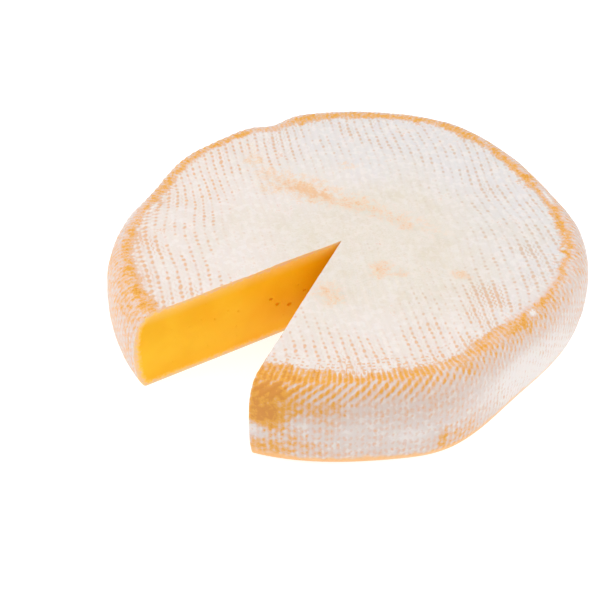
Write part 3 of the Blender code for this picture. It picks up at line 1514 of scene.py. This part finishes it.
def tone(red: int, green: int, blue: int) -> Colour:
    """A colour given as 0 to 255 in display values, as the linear colour that a shader takes.

    Args:
        red: The red part.
        green: The green part.
        blue: The blue part.

    Returns:
        Red, green, blue and an alpha of 1.
    """
    parts = [part / 255.0 for part in (red, green, blue)]
    linear = [p / 12.92 if p <= 0.04045 else ((p + 0.055) / 1.055) ** 2.4 for p in parts]
    return (*linear, 1.0)


# ------------------------------------------------------------------ finishes


@dataclass(frozen=True)
class Skin:
    """How light sinks in and glances off.

    It has the share that sinks in, how far each colour goes of the depth, and the shine.
    """

    share: float
    colours: tuple[float, float, float]
    depth: float
    shine: float


@dataclass(frozen=True)
class RindFinish:
    """White bloom over an orange washed rind, rubbed through where the cloth's threads pressed.

    A span is the two levels of rubbing between which its colour comes in. The grain's scales
    count noise per millimetre, from coarse to fine.
    """

    bloom_rim: Colour = tone(228, 219, 213)
    bloom_cream: Colour = tone(225, 217, 207)
    # Painted shade: the bloom darker and greyer towards the back and the right.
    bloom_back_right_shade: Colour = tone(221, 218, 218)
    bloom_side: Colour = tone(221, 209, 204)
    bloom_dull: Colour = tone(215, 204, 184)
    mould: Colour = tone(235, 229, 226)
    dot: Colour = tone(220, 184, 162)
    # Painted shade: the dots darker and greyer towards the back and the right.
    dot_back_right_shade: Colour = tone(206, 190, 178)
    dot_dull: Colour = tone(205, 190, 168)
    warm: Colour = tone(230, 203, 178)
    blush: Colour = tone(223, 195, 179)
    blush_span: Pair = (-0.12, 0.30)
    flush: Colour = tone(226, 188, 164)
    flush_span: Pair = (0.22, 0.46)
    peach: Colour = tone(229, 180, 132)
    peach_span: Pair = (0.36, 0.60)
    orange: Colour = tone(230, 162, 44)
    orange_span: Pair = (0.50, 0.86)
    ochre: Colour = tone(213, 136, 34)
    ochre_span: Pair = (0.86, 1.20)
    # Painted shade: the front of the side darkened towards brown below the shoulder.
    painted_shade: Colour = tone(180, 128, 80)
    # Painted light: the foot's bright edge, and its paler toe on the right.
    foot: Colour = tone(250, 194, 130)
    toe_light: Colour = tone(255, 232, 196)
    groove_start: Pair = (-8.0, -5.0)
    groove_end: Pair = (35.0, 32.0)
    grain_scales: tuple[float, float, float] = (0.13, 0.45, 1.6)
    wobble_scale: float = 0.30
    roughness: float = 0.62
    rubbed_gloss: float = 0.14
    bump_depth: float = 0.20 * MM
    skin: Skin = Skin(0.15, (1.0, 0.5, 0.25), 3.0 * MM, 0.3)

    def build(self) -> bpy.types.Material:
        """Makes the rind's material.

        Returns:
            The material.
        """
        bench = Bench("rind")
        place = bench.place()
        coarse, middle, fine = (bench.noise(place, scale, 3.0) for scale in self.grain_scales)
        wear, flat, stain = bench.mark("wear"), bench.mark("flat"), bench.mark("stain")
        dots, threads = self.cloth(bench, flat, bench.noise(place, self.wobble_scale))
        threads = threads * (1.0 - 0.7 * stain.rise(0.0, 0.6))
        grain = 0.9 * (middle - 0.5) + 1.0 * (fine - 0.5)
        loose = 1.0 - bench.mark("front")
        height = wear - threads + grain * (0.6 + 0.1 * flat + wear * loose)
        height = height + stain * (1.0 + 1.6 * (middle - 0.5))
        cream, back_right_shade = bench.mark("cream"), bench.mark("back_right_shade")

        # Painted shade: darker, greyer bloom and dots, and less peach, towards the back and the
        # right.
        bloom = bench.mix(back_right_shade, self.bloom_rim, self.bloom_back_right_shade)
        bloom = bench.mix(cream, bloom, self.bloom_cream)
        bloom = bench.mix(0.4 * coarse.rise(0.50, 0.66) * cream, bloom, self.bloom_dull)
        bloom = bench.mix(0.5 * fine.rise(0.55, 0.30) * cream, bloom, self.bloom_dull)
        bloom = bench.mix(flat, self.bloom_side, bloom)
        bloom = bench.mix((0.55 - 0.25 * cream) * middle.rise(0.48, 0.60), bloom, self.mould)
        bloom = bench.mix(stain.rise(-0.05, -0.35), bloom, self.mould)

        low = height - 0.22 * flat
        colour = bench.mix(0.8 * low.rise(*self.blush_span), bloom, self.blush)
        colour = bench.mix(height.rise(*self.flush_span), colour, self.flush)
        colour = bench.mix(height.rise(*self.peach_span), colour, self.peach)
        colour = bench.mix(height.rise(*self.orange_span), colour, self.orange)
        colour = bench.mix(0.9 * height.rise(*self.ochre_span), colour, self.ochre)
        dot = bench.mix(0.8 * back_right_shade, self.dot, self.dot_back_right_shade)
        dot = bench.mix(0.8 * cream, dot, self.dot_dull)
        colour = bench.mix(0.95 * dots.rise(-0.05, 1.15), colour, dot)
        warmth = (0.6 - 0.4 * back_right_shade) * (1.0 - cream)
        colour = bench.mix(warmth * dots.rise(0.5, 1.2), colour, self.peach)
        tint = bench.mark("tint")
        tint = tint.rise(0.0, 0.2) * (tint + 2.0 * (middle - 0.5) + 1.6 * (fine - 0.5))
        colour = bench.mix(0.8 * tint.rise(-0.1, 0.5), colour, self.warm)
        colour = bench.mix(0.7 * tint.rise(0.4, 0.9), colour, self.peach)
        beneath = bench.mark("beneath")
        # Painted shade: the front of the side darkened towards brown from the shoulder down.
        under = bench.mark("front") * beneath.rise(-1.0, 1.0) * beneath.rise(19.0, 7.0)
        colour = bench.mix(0.18 * under, colour, self.painted_shade)
        # Painted light along the foot's edge, strongest at the front, and on the toe towards the
        # right.
        colour = bench.mix(0.9 * bench.mark("foot"), colour, self.foot)
        colour = bench.mix(0.6 * bench.mark("toe_light"), colour, self.toe_light)

        gloss = self.rubbed_gloss * height.rise(0.3, 0.7)
        relief = 0.5 + 0.25 * dots - 0.5 * threads + 0.5 * (fine - 0.5) + 0.2 * (middle - 0.5)
        normal = bench.bump(relief, self.bump_depth, 0.8)
        return bench.finish(colour, self.roughness - gloss, self.skin, normal)

    def cloth(self, bench: Bench, flat: Signal, noise: Signal) -> tuple[Signal, Signal]:
        """The threads' print: the dots that stood up to be rubbed, and the grooves between.

        Args:
            bench: Where the nodes go.
            flat: 1 on the two flat faces, 0 on the side.
            noise: What breaks the threads up.

        Returns:
            The dots of the top and the grooves of the side, each from 0.
        """
        wobble = 0.9 * (noise - 0.5)
        left, facing = bench.mark("left"), bench.mark("front")
        turn, down = bench.map_pair(CLOTH_MAP)
        around = turn * Weave.UPRIGHTS + 0.6 * wobble

        columns, rows = bench.map_pair(WEAVE_MAP)
        columns = columns + 0.4 * wobble
        line = columns.whole()
        rows = rows + 0.5 * line + 0.35 * bench.cell(line, 0.0, 0.0) + wobble
        luck = bench.cell(line, rows.whole(), 5.0)
        beads = rows.ridge(1.6) * (0.1 + 1.5 * luck)
        between = (0.5 - 0.5 * columns.cosine()) ** 3.0 * (0.5 + 0.5 * (rows + 0.5).cosine())
        printed = bench.mark("print")
        dots = printed * (columns.ridge(3.5) * (0.34 + 1.0 * beads) + 0.22 * between * printed)
        lines = down / Weave.HEM_PITCH + wobble
        flecks = bench.cell(around.whole(), lines.whole(), 9.0).rise(0.25, 0.75)
        hem = 1.1 * bench.mark("hem") * lines.cosine().rise(-0.6, 0.8) * flecks
        hem = hem * around.cosine().rise(-0.9, 0.3)
        comb = 0.9 * left * down.rise(-9.0, -3.0) * rows.ridge(1.5) * (0.2 + 1.2 * noise)

        upright = around.ridge(1.8)
        front = (turn * Weave.SLANTED + down * Weave.SLANT + 0.6 * wobble).cosine()
        steep = (turn * Weave.STEEP + down * Weave.STEEP_SLANT + 0.6 * wobble).cosine()
        slanted = (0.5 + 0.5 * (front + (steep - front) * bench.mark("right"))) ** Weave.THINNESS
        crossing = turn * (Weave.UPRIGHTS - Weave.SLANTED) - down * Weave.SLANT + wobble
        across = (down / Weave.ACROSS + 1.5 * wobble).ridge(1.5)
        fray = bench.cell(around.whole(), 0.0, 3.0) - 0.5
        upper = (0.12 + 0.32 * facing + 0.20 * left) * upright
        upper = upper - 0.5 * fray * facing * down.rise(1.0, -2.5)
        shoulder = (0.35 + 0.50 * facing - 0.22 * left) * slanted
        shoulder = shoulder + (0.34 + 0.08 * left) * upright + 0.16 * left * across
        lower = 0.42 * upright + 0.26 * slanted + 0.20 * crossing.ridge(1.5)
        lower = lower + 0.34 * across * facing
        beneath = bench.mark("beneath")
        grooves = upper + (shoulder - upper) * beneath.rise(-1.2, 1.0)
        grooves = grooves + (lower - grooves) * beneath.rise(4.5, 8.0)
        grooves = grooves * (0.1 + 1.8 * noise) * (1.0 - 0.4 * left)
        on_side = down.rise(*self.groove_start) ** 2.0 * down.rise(*self.groove_end)
        return (dots + hem + comb) * flat, grooves * on_side


@dataclass(frozen=True)
class PasteFinish:
    """The paste, its own yellow saturated to amber by painted bounce light between the cut faces:
    deeper towards the wedge's point by painted shade, and paler under the rind.

    A span is the two distances, in millimetres, between which its colour comes in.
    """

    # Partly the paste's own yellow, partly painted light bounced between the cut faces.
    amber: Colour = tone(249, 195, 28)
    deep: Colour = tone(244, 185, 8)
    # Painted shade and bounce light: deeper amber towards the wedge's point.
    point_shade: Colour = tone(242, 185, 0)
    point_shade_span: Pair = (24.0, 12.0)
    pale: Colour = tone(250, 206, 110)
    sunk_span: Pair = (5.5, 1.0)
    pale_span: Pair = (2.4, 0.8)
    edge: Colour = tone(234, 198, 160)
    edge_span: Pair = (1.3, 0.5)
    ragged: float = 2.6
    cloud_scale: float = 0.07
    grain_scale: float = 0.9
    roughness: float = 0.42
    bump_depth: float = 0.12 * MM
    skin: Skin = Skin(0.6, (1.0, 0.55, 0.2), 4.0 * MM, 0.2)

    def build(self) -> bpy.types.Material:
        """Makes the paste's material.

        Returns:
            The material.
        """
        bench = Bench("paste")
        place = bench.place()
        clouds = bench.noise(place, self.cloud_scale)
        fine = bench.noise(place, self.grain_scale, 3.0)
        inward, sunk = bench.mark("inward"), bench.mark("sunk")
        depth = bench.mark("depth") + self.ragged * (fine - 0.5)
        colour = bench.mix(clouds.rise(0.35, 0.65), self.amber, self.deep)
        # Painted shade and bounce light towards the wedge's point.
        colour = bench.mix(0.55 * inward.rise(*self.point_shade_span), colour, self.point_shade)
        colour = bench.mix(0.65 * sunk.rise(*self.sunk_span), colour, self.pale)
        colour = bench.mix(depth.rise(*self.pale_span), colour, self.pale)
        colour = bench.mix(depth.rise(*self.edge_span), colour, self.edge)
        normal = bench.bump(fine, self.bump_depth, 0.5)
        return bench.finish(colour, self.roughness + 0.1 * fine, self.skin, normal)


@dataclass(frozen=True)
class FloorFinish:
    """The plain white table."""

    white: Colour = (0.50, 0.50, 0.50, 1.0)
    glow: float = 0.70
    roughness: float = 0.9

    def build(self) -> bpy.types.Material:
        """Makes the table's material.

        Returns:
            The material.
        """
        return Bench("table").principled(
            {
                "Base Color": self.white,
                "Roughness": self.roughness,
                "Specular IOR Level": 0.0,
                "Emission Color": WHITE,
                "Emission Strength": self.glow,
            }
        )


# ------------------------------------------------------------------ the cheese


@dataclass
class Cheese:
    """The wheel with the wedge taken out, dressed."""

    wheel: Wheel = field(default_factory=Wheel)
    knife: Knife = field(default_factory=Knife)
    eyes: Eyes = field(default_factory=Eyes)
    wear: WearAndPaintedLight = field(default_factory=WearAndPaintedLight)
    rind: RindFinish = field(default_factory=RindFinish)
    paste: PasteFinish = field(default_factory=PasteFinish)
    smooth_angle_deg: float = 35.0
    base_gap: float = 0.4 * MM

    def build(self) -> bpy.types.Object:
        """Turns, presses, cuts and dresses the cheese.

        Returns:
            The finished piece, in the frame's place.
        """
        body = self.wheel.build()
        body.data.materials.append(self.rind.build())
        log.info("wheel: %d faces", len(body.data.polygons))
        paste = self.paste.build()
        for cutter in (self.knife.build(), self.eyes.build()):
            cutter.data.materials.append(paste)
            apply_boolean(body, cutter)
        log.info("cut: %d faces", len(body.data.polygons))
        self.mark(body)
        activate(body)
        bpy.ops.object.shade_smooth_by_angle(angle=math.radians(self.smooth_angle_deg))
        self.place(body)
        return body

    def mark(self, body: bpy.types.Object) -> None:
        """Stores, as point values, what the two finishes read at each point.

        Args:
            body: The cut cheese, still on its own axis.
        """
        x, y, z = points_of(body).T
        angle = np.arctan2(y, x)
        outline, section = self.wheel.outline, self.wheel.section
        reach = np.hypot(x, y) * outline.radius / outline.radius_at(angle, z)
        level = z - self.wheel.lift(x, y, z)
        away, along = section.nearest(reach, level)
        on_top = (reach < section.plateau) & (level > 0.5 * section.thickness)
        under = (reach < section.foot) & (level < self.base_gap)
        down = np.where(on_top, reach - section.plateau, along)
        down = np.where(under, along.max() + section.foot - reach, down)
        marks = self.wear.marks(Places(x / MM, y / MM, z / MM, angle, down / MM))
        point_x, point_y = self.knife.cut.point
        marks["inward"] = np.hypot(x - point_x, y - point_y) / MM
        marks["sunk"] = (section.thickness - level) / MM
        marks["depth"] = np.minimum(np.minimum(away, section.thickness - level), level) / MM
        for name, values in marks.items():
            layer = body.data.attributes.new(name, "FLOAT", "POINT")
            layer.data.foreach_set("value", values.astype(np.float32))

    def place(self, body: bpy.types.Object) -> None:
        """Moves the mesh so that the smooth wheel's box is centred on the CAD node's.

        Args:
            body: The finished cheese.
        """
        low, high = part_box(CAD_NODE)
        middle = Vector(((low[0] + high[0]) / 2, (low[1] + high[1]) / 2, low[2]))
        shift = middle - self.wheel.middle
        body.data.transform(Matrix.Translation(shift))
        body.data.update()
        log.info("wheel axis at %.2f, %.2f mm", shift.x / MM, shift.y / MM)


# ------------------------------------------------------------------ the studio


@dataclass(frozen=True)
class Softbox:
    """A square soft light that looks at the cheese: where it stands, and its power."""

    name: str
    place: tuple[float, float, float]
    watts: float


@dataclass
class Studio:
    """A white table, soft lights and the camera."""

    softboxes: tuple[Softbox, ...] = (
        Softbox("left", (-0.70, -0.06, 0.68), 4.35),
        Softbox("right", (0.67, -0.24, 0.68), 3.0),
        Softbox("top", (0.0, -0.05, 1.0), 1.9),
    )
    softbox_size: float = 0.7
    sky: float = 0.51
    table_size: float = 8.0
    camera_place: tuple[float, float, float] = (-15.52 * MM, -379.58 * MM, 324.10 * MM)
    camera_tilt_deg: float = 49.503
    lens: float = 90.75
    sensor: float = 36.0
    near: float = 0.01

    def build(self) -> None:
        """Lays the table, hangs the lights and sets the camera."""
        self.lay_table()
        self.hang_lights()
        self.set_camera()

    def lay_table(self) -> None:
        """The table's top, under the cheese."""
        deselect()
        bpy.ops.mesh.primitive_plane_add(size=self.table_size, location=(0.0, 0.0, 0.0))
        table = bpy.context.object
        table.name = table.data.name = "table"
        table.data.materials.append(FloorFinish().build())

    def hang_lights(self) -> None:
        """The softboxes and the even light all round."""
        for box in self.softboxes:
            deselect()
            bpy.ops.object.light_add(type="AREA", location=box.place)
            light = bpy.context.object
            light.name = light.data.name = box.name
            light.data.shape = "SQUARE"
            light.data.size = self.softbox_size
            light.data.energy = box.watts
            towards = -Vector(box.place)
            light.rotation_euler = towards.to_track_quat("-Z", "Y").to_euler()
        world = bpy.data.worlds.new("studio")
        world.use_nodes = True
        background = world.node_tree.nodes["Background"]
        background.inputs["Color"].default_value = WHITE
        background.inputs["Strength"].default_value = self.sky
        bpy.context.scene.world = world

    def set_camera(self) -> None:
        """The camera, at the angle the cheese is shown from."""
        deselect()
        tilt = (math.radians(self.camera_tilt_deg), 0.0, 0.0)
        bpy.ops.object.camera_add(location=self.camera_place, rotation=tilt)
        camera = bpy.context.object
        camera.data.lens = self.lens
        camera.data.sensor_width = self.sensor
        camera.data.clip_start = self.near
        bpy.context.scene.camera = camera
        bpy.context.scene.view_settings.view_transform = "Standard"


def main() -> None:
    """Builds the cheese and the studio, and hides the frame part that the cheese stands for."""
    cheese = Cheese().build()
    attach(cheese, "root")
    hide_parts(CAD_NODE)
    log.info("cheese: %d faces", len(cheese.data.polygons))
    Studio().build()
    log.info("studio built")


if __name__ == "__main__":
    logging.basicConfig(level=logging.INFO)
    main()
